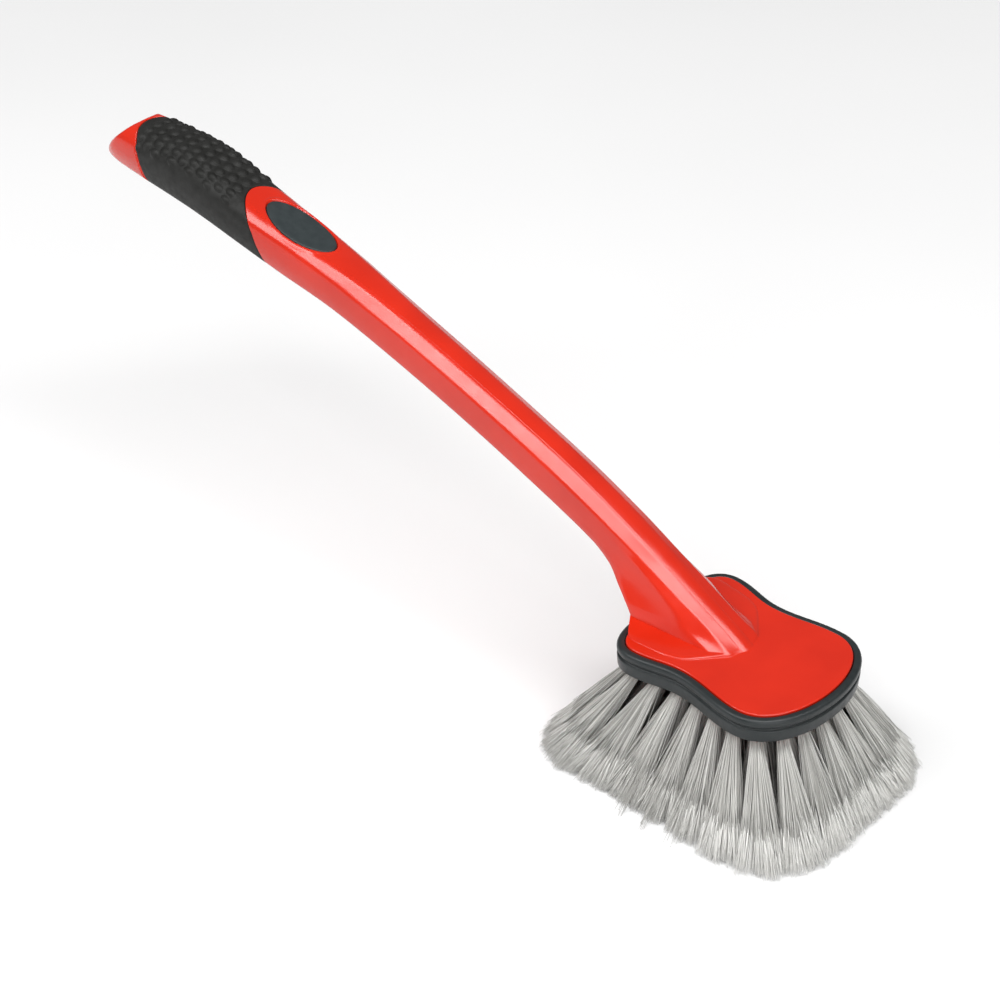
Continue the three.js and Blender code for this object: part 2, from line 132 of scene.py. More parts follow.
def ring_mesh(rings, is_loop=False):
    """Points and faces of a skin over rings, closed by a fan at each end unless it is a loop."""
    rings = np.asarray(rings)
    rows, count = rings.shape[:2]
    points = rings.reshape(-1, 3)
    faces = ring_faces(rows, count, is_loop)
    if not is_loop:
        ends = rings[[0, -1]].mean(axis=1)
        first, final = len(points), len(points) + 1
        points = np.vstack([points, ends])
        start = (rows - 1) * count
        for j in range(count):
            k = (j + 1) % count
            faces.append((first, k, j))
            faces.append((final, start + j, start + k))
    return points, faces


def make_piece(name, points, faces, replaces, materials, face_materials=None):
    """A smooth-shaded mesh object that stands for CAD nodes and rides on the brush."""
    mesh = bpy.data.meshes.new(name)
    mesh.from_pydata((np.asarray(points) * MM).tolist(), [], faces)
    for material in materials:
        mesh.materials.append(material)
    mesh.polygons.foreach_set("use_smooth", [True] * len(faces))
    if face_materials is not None:
        mesh.polygons.foreach_set("material_index", face_materials)
    mesh.update()
    piece = bpy.data.objects.new(name, mesh)
    bpy.context.scene.collection.objects.link(piece)
    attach(piece, "root")
    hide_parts(*replaces)
    return piece


def face_outwards(piece):
    editor = bmesh.new()
    editor.from_mesh(piece.data)
    bmesh.ops.recalc_face_normals(editor, faces=editor.faces)
    editor.to_mesh(piece.data)
    editor.free()


# ---- the head's waisted outline ----------------------------------------------------------
WAIST_HALF_WIDTH = 31.5
REAR_HALF_WIDTH = 35.8
STRETCH_STEPS = 200


def head_outline(count):
    """Evenly spaced points from the front middle, anticlockwise."""
    length, width = HEAD_HALF_LENGTH, HEAD_HALF_WIDTH
    waist, rear_width = WAIST_HALF_WIDTH, REAR_HALF_WIDTH
    stretches = [
        [(length, 0), (length, 18), (40, width), (25, width)],
        [(25, width), (12, width), (4, waist), (-9, waist)],
        [(-9, waist), (-19, waist), (-26, rear_width), (-35, rear_width)],
        [(-35, rear_width), (-46, rear_width), (-length, 24), (-length, 0)],
    ]
    part = np.linspace(0, 1, STRETCH_STEPS)[:, None]
    half = np.vstack([bezier([np.array(p, float) for p in s], part) for s in stretches])
    steps = np.linalg.norm(np.diff(half, axis=0), axis=1)
    travelled = np.concatenate([[0], np.cumsum(steps)])
    wanted = np.linspace(0, travelled[-1], count // 2 + 1)
    half = np.stack([np.interp(wanted, travelled, half[:, k]) for k in range(2)], -1)
    other = half[1:-1][::-1] * [1, -1]
    return np.vstack([half, other])


def pushed_out(outline, distance):
    """The outline moved outwards by a distance, or inwards by a negative one."""
    along = np.roll(outline, -1, axis=0) - np.roll(outline, 1, axis=0)
    along /= np.linalg.norm(along, axis=1)[:, None]
    return outline + np.stack([along[:, 1], -along[:, 0]], -1) * distance


def at_level(outline, z):
    return np.column_stack([outline, np.full(len(outline), z)])


HUB = np.array([-18.0, 0.0])  # a point inside the web's foot, which its outlines go round


def round_hub(outline):
    """The angle and distance from the hub of each point."""
    local = outline[:, :2] - HUB
    return np.unwrap(np.arctan2(local[:, 1], local[:, 0])), np.linalg.norm(local, axis=1)


def reach_at(angle, outline):
    """The distance from the hub to an outline, in each direction."""
    return np.interp(angle, *round_hub(outline), period=2 * math.pi)


def from_hub(angle, reach):
    return HUB + np.column_stack([np.cos(angle), np.sin(angle)]) * reach[:, None]


# ---- the handle's skin -------------------------------------------------------------------
# Ribs from the head to the butt: the top and base points as x and z, the flat top's half
# width, then the half width and the part of the way down of the shoulder, flank and heel,
# and the share of its sides that the heel's rounding takes.
CREASE = (0.6, 65.4, -52.8, 65.1, 4.4, 10.2, 0.045, 15.6, 0.19, 19.4, 1, 0.12)
SKIRT_RIBS = [
    (4.6, 63, -46.3, 63, 4.5, 10.3, 0.07, 29.5, 0.38, 33, 0.97, 0.3),
    (2.2, 64.5, -47.4, 64.5, 4.4, 10.2, 0.055, 28.2, 0.37, 31.2, 0.98, 0.27),
    CREASE,
]
HANDLE_RIBS = [
    CREASE,
    (-9, 71, -57.9, 70.5, 4.4, 9.6, 0.07, 14.8, 0.31, 18.2, 1, 0.15),
    (-24, 78.9, -64.5, 75.3, 4.6, 9.6, 0.09, 13.4, 0.24, 16, 1, 0.21),
    (-45, 90, -72.4, 80.3, 4.8, 10.2, 0.15, 12, 0.3, 13.2, 1, 0.35),
    (-66, 100.7, -83.2, 85.4, 5, 10.8, 0.19, 11.4, 0.4, 11.4, 1, 0.45),
    (-100, 115.7, -109.6, 95.4, 5, 11.1, 0.22, 11.1, 0.6, 10.5, 1, 0.48),
    (-150, 133.2, -158, 112.2, 5, 11.1, 0.22, 11.1, 0.6, 10.5, 1, 0.48),
    (-200, 149.2, -207, 127.3, 5.2, 11.3, 0.22, 11.5, 0.6, 10.8, 1, 0.48),
    (-245, 162.3, -251, 139.3, 7.5, 12.6, 0.22, 13, 0.6, 11.5, 1, 0.48),
    (-281, 169.6, -286, 145.7, 10.8, 14.4, 0.2, 14.9, 0.6, 12.5, 1, 0.48),
    (-312, 177, -316, 151.9, 11, 16, 0.22, 16.3, 0.6, 13.5, 1, 0.48),
    (-345, 186, -348, 157.1, 11, 16.5, 0.24, 16.7, 0.6, 13.5, 1, 0.48),
    (-381, 187.4, -382, 160.1, 10, 15.2, 0.25, 15.6, 0.6, 12.6, 1, 0.48),
    (-404, 186.5, -404, 161, 9, 13.4, 0.27, 13.6, 0.6, 10.2, 1, 0.48),
    (-424, 184, -424, 163.5, 5, 8, 0.3, 8, 0.6, 6, 1, 0.48),
]
CROWN_RISE = 0.03  # the flat top's edges are this part of the way down
EDGE_SHARE = 0.16  # of its sides, that the rounding of a corner on the shaft takes
GRIP_EDGE_SHARE = 0.42  # the grip's corners are rounder
FLANK_SHARE = 0.4
WEB_FLANK_SHARE = 0.15
GRIP_STARTS, GRIP_IS_FULL = 205, 285  # how far behind the head the corners turn rounder
WEB_ENDS, SHAFT_STARTS = 40, 80
SKIRT_BLEND = 2.0  # height below the crease in which the skirt's flank turns soft
CROWN_STEPS = 36
CORNER_STEPS = 8


def lines(a, b, count):
    """Points from a up to, but not with, b. a and b have one row for each section."""
    part = np.arange(count) / count
    return mix(a[:, None], b[:, None], part[None, :, None])


def corners(start, corner, end, count):
    """A rounded corner from start to, but not with, end."""
    part = (np.arange(count) / count)[None, :, None]
    return bezier([p[:, None] for p in (start, corner, end)], part)


def sections(ribs, places, inset=0.0):
    """Closed sections through the ribs at the places, shrunk by inset: (place, point, 3)."""
    ribs = np.array(ribs, float)

    def through(columns):
        return curve_through(ribs[:, columns], places)

    def in_plane(values):
        return np.column_stack([values[:, 0], np.zeros(len(places)), values[:, 1]])

    top = in_plane(through([0, 1]))
    down = in_plane(through([2, 3])) - top
    height = np.linalg.norm(down, axis=1)
    down /= height[:, None]
    width = through([5, 7, 9])
    drop = through([6, 8, 10])
    crown_sizes = through([4, 11])

    def corner(across, part):
        return np.column_stack([across - inset, inset + part * (height - 2 * inset)])

    crown = np.column_stack([0 * height, 0 * height + inset])
    flat = corner(crown_sizes[:, 0], CROWN_RISE)
    shoulder = corner(width[:, 0], drop[:, 0])
    flank = corner(width[:, 1], drop[:, 1])
    heel = corner(width[:, 2], drop[:, 2])
    sole = np.column_stack([0 * height, height - inset])
    share = crown_sizes[:, 1:]
    behind_head = -top[:, :1]
    below_crease = CREASE[1] - top[:, 2:]
    grip = smooth_step(GRIP_STARTS, GRIP_IS_FULL, behind_head)
    soft = mix(EDGE_SHARE, GRIP_EDGE_SHARE, grip)
    on_shaft = smooth_step(WEB_ENDS, SHAFT_STARTS, behind_head)
    on_skirt = smooth_step(0, SKIRT_BLEND, below_crease)
    bend = np.maximum(
        mix(WEB_FLANK_SHARE, FLANK_SHARE, on_skirt), mix(WEB_FLANK_SHARE, FLANK_SHARE, on_shaft)
    )
    ends_of = {
        "flat": (mix(flat, crown, EDGE_SHARE), mix(flat, shoulder, soft)),
        "shoulder": (mix(shoulder, flat, soft), mix(shoulder, flank, soft)),
        "flank": (mix(flank, shoulder, bend), mix(flank, heel, bend)),
        "heel": (mix(heel, flank, share), mix(heel, sole, share)),
    }
    top_line = lines(crown, ends_of["flat"][0], CROWN_STEPS)
    bow = (top_line[:, :, 0] / flat[:, None, 0]) ** 2
    top_line[:, :, 1] = mix(crown[:, None, 1], flat[:, None, 1], bow)
    half = np.concatenate(
        [
            top_line,
            corners(ends_of["flat"][0], flat, ends_of["flat"][1], CORNER_STEPS),
            lines(ends_of["flat"][1], ends_of["shoulder"][0], CORNER_STEPS),
            corners(ends_of["shoulder"][0], shoulder, ends_of["shoulder"][1], CORNER_STEPS),
            lines(ends_of["shoulder"][1], ends_of["flank"][0], 3),
            corners(ends_of["flank"][0], flank, ends_of["flank"][1], 6),
            lines(ends_of["flank"][1], ends_of["heel"][0], 4),
            corners(ends_of["heel"][0], heel, ends_of["heel"][1], 12),
            lines(ends_of["heel"][1], sole, 6),
            sole[:, None],
        ],
        axis=1,
    )
    other = half[:, 1:-1][:, ::-1] * [-1, 1]
    ring = np.concatenate([half, other], axis=1)
    across = np.array([0.0, 1.0, 0.0])
    return top[:, None] + ring[:, :, 1:] * down[:, None] + ring[:, :, :1] * across


PLACES = np.linspace(0, 1, 1600)
SKIN = sections(HANDLE_RIBS, PLACES)
SEAT = sections(HANDLE_RIBS, PLACES, SLEEVE_WALL + FIT_GAP)
INNER = sections(HANDLE_RIBS, PLACES, SLEEVE_WALL)
RING_COUNT = SKIN.shape[1]
RING = np.arange(RING_COUNT)
SPEED = np.linalg.norm(np.gradient(SKIN, PLACES, axis=0), axis=2)
CREST = SKIN[:, 0, 0]  # x along the top, falling towards the butt


def skin_normals():
    along = np.gradient(SKIN, axis=0)
    around = np.roll(SKIN, -1, axis=1) - np.roll(SKIN, 1, axis=1)
    out = np.cross(around, along)
    return out / np.linalg.norm(out, axis=2)[:, :, None]


NORMALS = skin_normals()


def on(table, places):
    """The table's ring, with every point at its own place."""
    at = np.clip(places, 0, 1) * (len(PLACES) - 1)
    first = np.minimum(at.astype(int), len(PLACES) - 2)
    part = at - first
    if table.ndim == 3:
        part = part[:, None]
    return mix(table[first, RING], table[first + 1, RING], part)


def place_at(x):
    return float(np.interp(-x, -CREST, PLACES))


def everywhere(place):
    return np.full(RING_COUNT, place)


def rows_between(start, end, count):
    """Places for `count` rings from start up to, but not with, end."""
    return [mix(start, end, k / count) for k in range(count)]


def crossing(outside):
    """For each point of the ring, the place where `outside` first turns positive."""
    after = np.argmax(outside > 0, axis=0)
    before = after - 1
    low = outside[before, RING]
    high = outside[after, RING]
    return mix(PLACES[before], PLACES[after], low / (low - high))


# ---- the lines where pieces meet ---------------------------------------------------------
LOBE_HALF_WIDTH = 17.5


def sleeve_end(side_x, side_z, slant, lobe_x, tip_x, blend_from, blend_to):
    """Places of an end of the sleeve: a slanted line on the sides and a lobe over the top.

    The sides' line passes side_x at side_z. The lobe goes from lobe_x at its edges to tip_x.
    """
    height = SKIN[:, :, 2]
    side = side_x + slant * (side_z - height)
    lobe_share = 1 - (SKIN[:, :, 1] / LOBE_HALF_WIDTH) ** 2
    lobe = lobe_x + lobe_share * (tip_x - lobe_x)
    blend = smooth_step(blend_from, blend_to, height)
    return crossing(mix(side, lobe, blend) - SKIN[:, :, 0])


BUTT_POINT = np.array([-415.5, 0, 166.6])  # on the slanted flat face
BUTT_OUT = np.array([-0.666, 0, 0.746])
BUTT_END = crossing((SKIN - BUTT_POINT) @ BUTT_OUT)
BUTT_MARGIN = 0.9  # least red between the sleeve and the butt's face


def distance_in_place(distance, places):
    """How far a distance along the handle is, as a step between places."""
    return distance / on(SPEED, places)


FRONT_EDGE = sleeve_end(-302, 168.5, 0.42, -299.5, -315.0, 164, 172)
REAR_EDGE = np.minimum(
    sleeve_end(-382.5, 176, 0.25, -381, -391.0, 173, 180),
    BUTT_END - distance_in_place(BUTT_MARGIN, BUTT_END),
)


# ---- the thumb pad's oval ----------------------------------------------------------------
PAD_HALF_LENGTH = 22.4
PAD_HALF_WIDTH = 10.1
PAD_DEPTH = 2.0
PAD_MIDDLE = np.array([-281.3, 0, 169.7])
PAD_TILT = math.radians(10.5)
PAD_ALONG = np.array([-math.cos(PAD_TILT), 0, math.sin(PAD_TILT)])
PAD_UP = np.array([math.sin(PAD_TILT), 0, math.cos(PAD_TILT)])
POCKET_GROW = 0.55  # the pocket's rim lies this far outside the pad's oval
POCKET_WALL = 0.4  # how far inwards its wall slopes
POCKET_SNAP = 0.13  # points this near the wall's top and foot are moved onto them
POCKET_LIP = 0.3
POCKET_LIP_WIDTH = 0.8
POCKET_LIP_END = 3.0
TOP_DEPTH = 6.0  # points further below the pad belong to the handle's underside


def outside_oval(points, grow):
    """Distance outside the pad's oval grown by `grow`, height over it, and the way outwards."""
    a = PAD_HALF_LENGTH + grow
    b = PAD_HALF_WIDTH + grow
    local = points - PAD_MIDDLE
    u, v, w = local @ PAD_ALONG, local[:, 1], local @ PAD_UP
    value = (u / a) ** 2 + (v / b) ** 2 - 1
    slope_u, slope_v = 2 * u / a**2, 2 * v / b**2
    slope = np.hypot(slope_u, slope_v) + 1e-6
    away = slope_u[:, None] * PAD_ALONG + slope_v[:, None] * np.array([0, 1, 0])
    return value / slope, w, away / slope[:, None]


def sunk_pocket(points):
    """Presses the pad's pocket, with a slightly raised lip, into points of the handle's top."""
    distance, height, away = outside_oval(points, POCKET_GROW)
    is_top = height > -TOP_DEPTH
    for edge in (0.0, -POCKET_WALL):
        near = is_top & (np.abs(distance - edge) < POCKET_SNAP)
        points = points - away * (np.where(near, distance - edge, 0))[:, None]
    distance, height, away = outside_oval(points, POCKET_GROW)
    wall = smooth_step(0, POCKET_WALL, -distance)
    lip = POCKET_LIP * np.exp(-((distance / POCKET_LIP_WIDTH - 1.1) ** 2))
    floor = -PAD_DEPTH - FIT_GAP
    sunk = wall * (floor - height) + (1 - wall) * lip
    return points + np.where(is_top & (distance < POCKET_LIP_END), sunk, 0)[:, None] * PAD_UP


# ---- materials ---------------------------------------------------------------------------
class Look:
    """A material with a Principled shader, and short ways to add procedural detail to it."""

    def __init__(self, name, colour, roughness, **sockets):
        self.material = bpy.data.materials.new(name)
        self.material.use_nodes = True
        self.material.diffuse_color = (*colour, 1)
        self.nodes = self.material.node_tree.nodes
        self.links = self.material.node_tree.links
        self.shader = self.nodes["Principled BSDF"]
        self.shader.inputs["Base Color"].default_value = (*colour, 1)
        self.shader.inputs["Roughness"].default_value = roughness
        for socket, value in sockets.items():
            self.shader.inputs[socket.replace("_", " ")].default_value = value
        self.place = self.nodes.new("ShaderNodeTexCoord").outputs["Object"]

    def noise(self, size_mm, detail=3.0, stretch=None):
        """Noise whose blobs are about size_mm across."""
        texture = self.nodes.new("ShaderNodeTexNoise")
        texture.inputs["Scale"].default_value = 1 / (size_mm * MM)
        texture.inputs["Detail"].default_value = detail
        source = self.place
        if stretch is not None:
            mapping = self.nodes.new("ShaderNodeMapping")
            mapping.inputs["Scale"].default_value = stretch
            self.links.new(source, mapping.inputs["Vector"])
            source = mapping.outputs["Vector"]
        self.links.new(source, texture.inputs["Vector"])
        return texture.outputs["Fac"]

    def colours(self, factor, low, high, span=(0.35, 0.65)):
        """Base colour that varies from low to high."""
        ramp = self.nodes.new("ShaderNodeValToRGB")
        for element, position, colour in zip(ramp.color_ramp.elements, span, (low, high)):
            element.position = position
            element.color = (*colour, 1)
        self.links.new(factor, ramp.inputs["Fac"])
        self.links.new(ramp.outputs["Color"], self.shader.inputs["Base Color"])

    def roughness(self, factor, low, high):
        span = self.nodes.new("ShaderNodeMapRange")
        span.inputs["From Min"].default_value = 0.3
        span.inputs["From Max"].default_value = 0.7
        span.inputs["To Min"].default_value = low
        span.inputs["To Max"].default_value = high
        self.links.new(factor, span.inputs["Value"])
        self.links.new(span.outputs["Result"], self.shader.inputs["Roughness"])

    def bump(self, *layers):
        """Bump from layers of (factor, height in mm)."""
        normal = None
        for factor, height_mm in layers:
            bump = self.nodes.new("ShaderNodeBump")
            bump.inputs["Distance"].default_value = height_mm * MM
            self.links.new(factor, bump.inputs["Height"])
            if normal is not None:
                self.links.new(normal, bump.inputs["Normal"])
            normal = bump.outputs["Normal"]
        self.links.new(normal, self.shader.inputs["Normal"])


def red_plastic():
    look = Look("red_plastic", (0.55, 0.017, 0.004), 0.2, Specular_IOR_Level=0.5)
    look.colours(look.noise(28, 2), (0.52, 0.015, 0.003), (0.57, 0.018, 0.004))
    look.roughness(look.noise(6, 4), 0.17, 0.23)
    look.bump((look.noise(2.6, 1), 0.003), (look.noise(0.5, 1), 0.0003))
    return look.material


def rubber(name, dark, light, roughness, grain_mm, shine):
    look = Look(name, dark, roughness, Specular_IOR_Level=shine)
    look.colours(look.noise(5, 5), dark, light)
    look.roughness(look.noise(3, 4), roughness - 0.06, roughness + 0.08)
    look.bump((look.noise(1.6, 3), 0.02), (look.noise(grain_mm, 3), 0.03))
    return look.material


def bumper_rubber():
    dark, light = (0.012, 0.016, 0.017), (0.017, 0.021, 0.022)
    return rubber("bumper_rubber", dark, light, 0.38, 0.25, 0.38)


def grip_rubber():
    dark, light = (0.01, 0.01, 0.009), (0.017, 0.017, 0.016)
    return rubber("grip_rubber", dark, light, 0.55, 0.3, 0.24)


def pad_rubber():
    dark, light = (0.021, 0.028, 0.03), (0.027, 0.035, 0.037)
    return rubber("pad_rubber", dark, light, 0.5, 0.35, 0.35)


def bristle(name, colour, roughness):
    look = Look(name, colour, roughness, Specular_IOR_Level=0.4)
    streaks = look.noise(0.6, 2, stretch=(1, 1, 0.12))
    look.roughness(streaks, roughness - 0.1, roughness + 0.1)
    look.bump((streaks, 0.02))
    return look.material


def bristle_looks():
    """Greys of the bristles: three for stems and two paler ones for split ends. The palest, used
    mostly on the front tufts, is partly painted light.
    """
    return [
        bristle("bristle_dark", (0.38, 0.375, 0.355), 0.5),
        bristle("bristle_mid", (0.5, 0.495, 0.47), 0.5),
        bristle("bristle_light", (0.62, 0.615, 0.59), 0.5),
        bristle("bristle_flag", (0.68, 0.675, 0.65), 0.6),
        bristle("bristle_flag_pale_lit", (0.76, 0.755, 0.73), 0.6),
    ]


# ---- the handle and head -----------------------------------------------------------------
UNDERSIDE_PARTS = (0.03, 0.35, 0.7, 0.9, 1)
PLATE_TOP_PARTS = (0, 0.02, 0.1, 0.25, 0.45, 0.65, 0.85, 0.97)
PLATE_ARC = np.radians([22.5, 45, 67.5, 90])
SKIRT_CLEARANCE = 0.1  # flat left between the skirt's foot and the plate's rounded edge


def top_of_head(skirt_foot):
    """Rings over the plate, from the middle of its underside to the foot of the skirt."""
    outline = head_outline(RING_COUNT)
    edge = pushed_out(outline, -PLATE_EDGE)
    arc = [(-PLATE_EDGE * (1 - math.sin(a)), PLATE_EDGE * (1 - math.cos(a))) for a in PLATE_ARC]
    side = [(out, HEAD_BOTTOM + rise) for out, rise in arc]
    side += [
        (0, GROOVE_BOTTOM),
        (-GROOVE_DEPTH, GROOVE_BOTTOM),
        (-GROOVE_DEPTH, GROOVE_TOP),
        (0, GROOVE_TOP),
    ]
    side += [(out, HEAD_TOP - rise) for out, rise in arc[::-1]]
    rings = [at_level(edge * part, HEAD_BOTTOM) for part in UNDERSIDE_PARTS]
    rings += [at_level(pushed_out(outline, out), z) for out, z in side]
    edge_angle = round_hub(edge)[0]
    foot_angle = round_hub(skirt_foot)[0]
    for part in PLATE_TOP_PARTS:
        angle = mix(edge_angle, foot_angle, part)
        reach = mix(reach_at(angle, edge), reach_at(angle, skirt_foot), part)
        rings.append(at_level(from_hub(angle, reach), HEAD_TOP))
    return rings


def skirt_rings():
    """The low skirt between the head's flat top and the crease round the web.

    Its foot is kept inside the plate, and that shift fades out towards the crease.
    """
    fine = np.linspace(0, 1, 400)
    level = curve_through(np.array(SKIRT_RIBS)[:, [0, 1]], fine)[:, 1]
    foot_place = float(np.interp(HEAD_TOP, level, fine))
    places = mix(foot_place, 1, 1 - (1 - np.linspace(0, 1, 15)[:-1]) ** 1.4)
    rings = sections(SKIRT_RIBS, places)
    inside = pushed_out(head_outline(720), -PLATE_EDGE - SKIRT_CLEARANCE)
    angle, reach = round_hub(rings[0])
    kept = np.minimum(reach, reach_at(angle, inside))
    shift = from_hub(angle, kept) - rings[0][:, :2]
    for place, ring in zip(places, rings):
        fade = ((1 - place) / (1 - foot_place)) ** 2
        ring[:, :2] += shift * fade
    rings[0][:, 2] = HEAD_TOP
    return rings


def handle_places():
    """Places of the handle's rings up to the sleeve's front edge, closest near the pad."""
    after_crease = everywhere(place_at(CREASE[0] - 0.4))
    web_end = everywhere(place_at(-70))
    pad_front = everywhere(place_at(PAD_MIDDLE[0] + PAD_HALF_LENGTH + POCKET_LIP_END))
    last = FRONT_EDGE - distance_in_place(0.6, FRONT_EDGE)
    rows = rows_between(everywhere(0), after_crease, 2)
    rows += rows_between(after_crease, web_end, 70)
    rows += rows_between(web_end, pad_front, 100)
    rows += rows_between(pad_front, last, 190)
    return rows


SEAT_EDGE_RADIUS = 0.45


def seat_edge(edge, side):
    """Rings that round the handle's edge and drop to the sleeve's seat. side is where red is."""
    rings = []
    for angle in np.radians([0, 30, 60, 90]):
        back = SEAT_EDGE_RADIUS * (1 - math.sin(angle))
        places = edge + side * distance_in_place(back, edge)
        depth = SEAT_EDGE_RADIUS * (1 - math.cos(angle)) / (SLEEVE_WALL + FIT_GAP)
        rings.append(mix(on(SKIN, places), on(SEAT, places), depth))
    rings.append(on(SEAT, edge))
    return rings


BUTT_TOP_RADIUS = 0.5
BUTT_HEEL_RADIUS = 10.0


def butt_rings():
    """The slanted butt's flat face and its rim, which is rounder further down."""
    rim = on(SKIN, BUTT_END)
    part_down = np.linalg.norm(rim - rim[0], axis=1)
    part_down /= part_down.max()
    radius = mix(BUTT_TOP_RADIUS, BUTT_HEEL_RADIUS, part_down**2)
    start = BUTT_END - distance_in_place(radius, BUTT_END)
    middle = rim.mean(axis=0)
    inward = (middle - rim) / np.linalg.norm(middle - rim, axis=1)[:, None]
    face = rim + inward * radius[:, None]
    after_sleeve = REAR_EDGE + distance_in_place(SEAT_EDGE_RADIUS, REAR_EDGE)
    start = np.maximum(start, after_sleeve)
    rings = [on(SKIN, places) for places in rows_between(after_sleeve, start, 16)]
    before = on(SKIN, start)
    rings += [bezier([before, rim, face], part) for part in np.linspace(0, 1, 9)]
    rings += [mix(face, middle, part) for part in (0.1, 0.3, 0.5, 0.7, 0.85, 0.95)]
    return rings


def build_handle(material):
    skirt = skirt_rings()
    rings = top_of_head(skirt[0])
    rings += list(skirt)
    crease_row = len(rings)
    rings += [on(SKIN, places) for places in handle_places()]
    rings += seat_edge(FRONT_EDGE, -1)
    for places in rows_between(FRONT_EDGE, REAR_EDGE, 40)[1:]:
        rings.append(on(SEAT, places))
    rings += seat_edge(REAR_EDGE, 1)[::-1]
    rings += butt_rings()
    points, faces = ring_mesh(rings)
    points = sunk_pocket(points)
    piece = make_piece(
        "red_handle", points, faces, ["handle_and_head"], [material]
    )
    face_outwards(piece)
    for edge in piece.data.edges:
        edge.use_edge_sharp = all(k // RING_COUNT == crease_row for k in edge.vertices)
    return piece


# ---- the bumper --------------------------------------------------------------------------
def bumper_section():
    """[how far out, z] round the rim's section, from the top of its inside wall."""

    def rounded(*controls, steps=6):
        controls = [np.array(p, float) for p in controls]
        return [tuple(bezier(controls, part)) for part in np.linspace(0, 1, steps + 1)]

    inner, top, foot, outer = FIT_GAP, BUMPER_TOP, BUMPER_BOTTOM, BUMPER_WIDTH
    points = rounded((inner, top - 0.9), (inner, top), (inner + 0.9, top), steps=4)
    points += rounded((1.7, top), (outer, top), (outer, top - 2.1), steps=9)
    points += rounded((outer, top - 2.4), (outer, top - 4), (2.95, top - 4.5), steps=7)
    points += rounded((2.7, top - 4.9), (2.75, top - 5.7), (3.5, top - 5.8), steps=5)
    points += rounded((3.6, top - 5.85), (3.85, top - 6), (3.8, top - 6.8), steps=4)
    points += rounded((3.5, foot + 1.4), (3.4, foot), (2.2, foot), steps=6)
    rib = FIT_GAP - GROOVE_DEPTH
    low, high = GROOVE_BOTTOM + FIT_GAP, GROOVE_TOP - FIT_GAP
    points += [(inner, foot), (inner, low), (rib, low), (rib, high), (inner, high)]
    return points


def build_bumper(material):
    outline = head_outline(320)
    rings = [at_level(pushed_out(outline, out), z) for out, z in bumper_section()]
    points, faces = ring_mesh(rings, is_loop=True)
    piece = make_piece(
        "rubber_bumper", points, faces, ["head_bumper"], [material]
    )
    face_outwards(piece)
    return piece


# ---- the sleeve --------------------------------------------------------------------------
NUB_PITCH = 6.4
NUB_COLUMNS = 3.1  # nubs reach this many pitches down each side
NUB_RADIUS = 2.8
NUB_HEIGHT = 1.2
NUB_FRONT = -319.0
NUB_REAR = -386.0
SLEEVE_EDGE_RADIUS = 0.7


def nub_height(places):
    """How far the nubs, in staggered rows, lift each point of a ring."""
    ring = on(SKIN, places)
    x = on(np.broadcast_to(CREST[:, None], SPEED.shape), places)
    steps = np.linalg.norm(np.diff(ring, axis=0, append=ring[:1]), axis=1)
    travelled = np.concatenate([[0], np.cumsum(steps)[:-1]])
    across = np.minimum(travelled, steps.sum() - travelled)
    across[RING_COUNT // 2 + 1 :] *= -1
    row = np.round((NUB_FRONT - x) / NUB_PITCH)
    lift = np.zeros(RING_COUNT)
    for neighbour in (row - 1, row, row + 1):
        stagger = np.where(neighbour % 2 == 1, NUB_PITCH / 2, 0)
        column = np.round((across - stagger) / NUB_PITCH) * NUB_PITCH + stagger
        row_x = NUB_FRONT - neighbour * NUB_PITCH
        gap = np.hypot(x - row_x, across - column) / NUB_RADIUS
        is_there = (neighbour >= 0) & (row_x > NUB_REAR)
        is_there &= np.abs(column) < NUB_COLUMNS * NUB_PITCH
        dome = NUB_HEIGHT * np.clip(1 - gap**2, 0, 1) ** 0.8
        lift = np.maximum(lift, np.where(is_there, dome, 0))
    return lift


def build_sleeve(material):
    front = FRONT_EDGE + distance_in_place(FIT_GAP, FRONT_EDGE)
    rear = REAR_EDGE - distance_in_place(FIT_GAP, REAR_EDGE)
    radius = SLEEVE_EDGE_RADIUS
    rim_front = front + distance_in_place(radius, front)
    rim_rear = rear - distance_in_place(radius, rear)
    arc = np.radians([90, 65, 40, 20])

    def rounded(edge, side, angle):
        places = edge + side * distance_in_place(radius * (1 - math.sin(angle)), edge)
        depth = radius * (1 - math.cos(angle)) / SLEEVE_WALL
        return mix(on(SKIN, places), on(INNER, places), depth)

    rings = [rounded(front, 1, angle) for angle in arc]
    for places in rows_between(rim_front, rim_rear, 210):
        rings.append(on(SKIN, places) + on(NORMALS, places) * nub_height(places)[:, None])
    rings += [rounded(rear, -1, angle) for angle in [0.0, *arc[::-1]]]
    rings += [on(INNER, places) for places in rows_between(rear, front, 20)]
    rings.append(on(INNER, front))
    points, faces = ring_mesh(rings, is_loop=True)
    piece = make_piece("grip_cover", points, faces, ["grip_sleeve"], [material])
    face_outwards(piece)
    return piece


# ---- the thumb pad -----------------------------------------------------------------------
PAD_EDGE_RADIUS = 0.7
PAD_SINK = 0.1  # how far the pad's edge lies below the handle's skin
PAD_DISH = 0.45


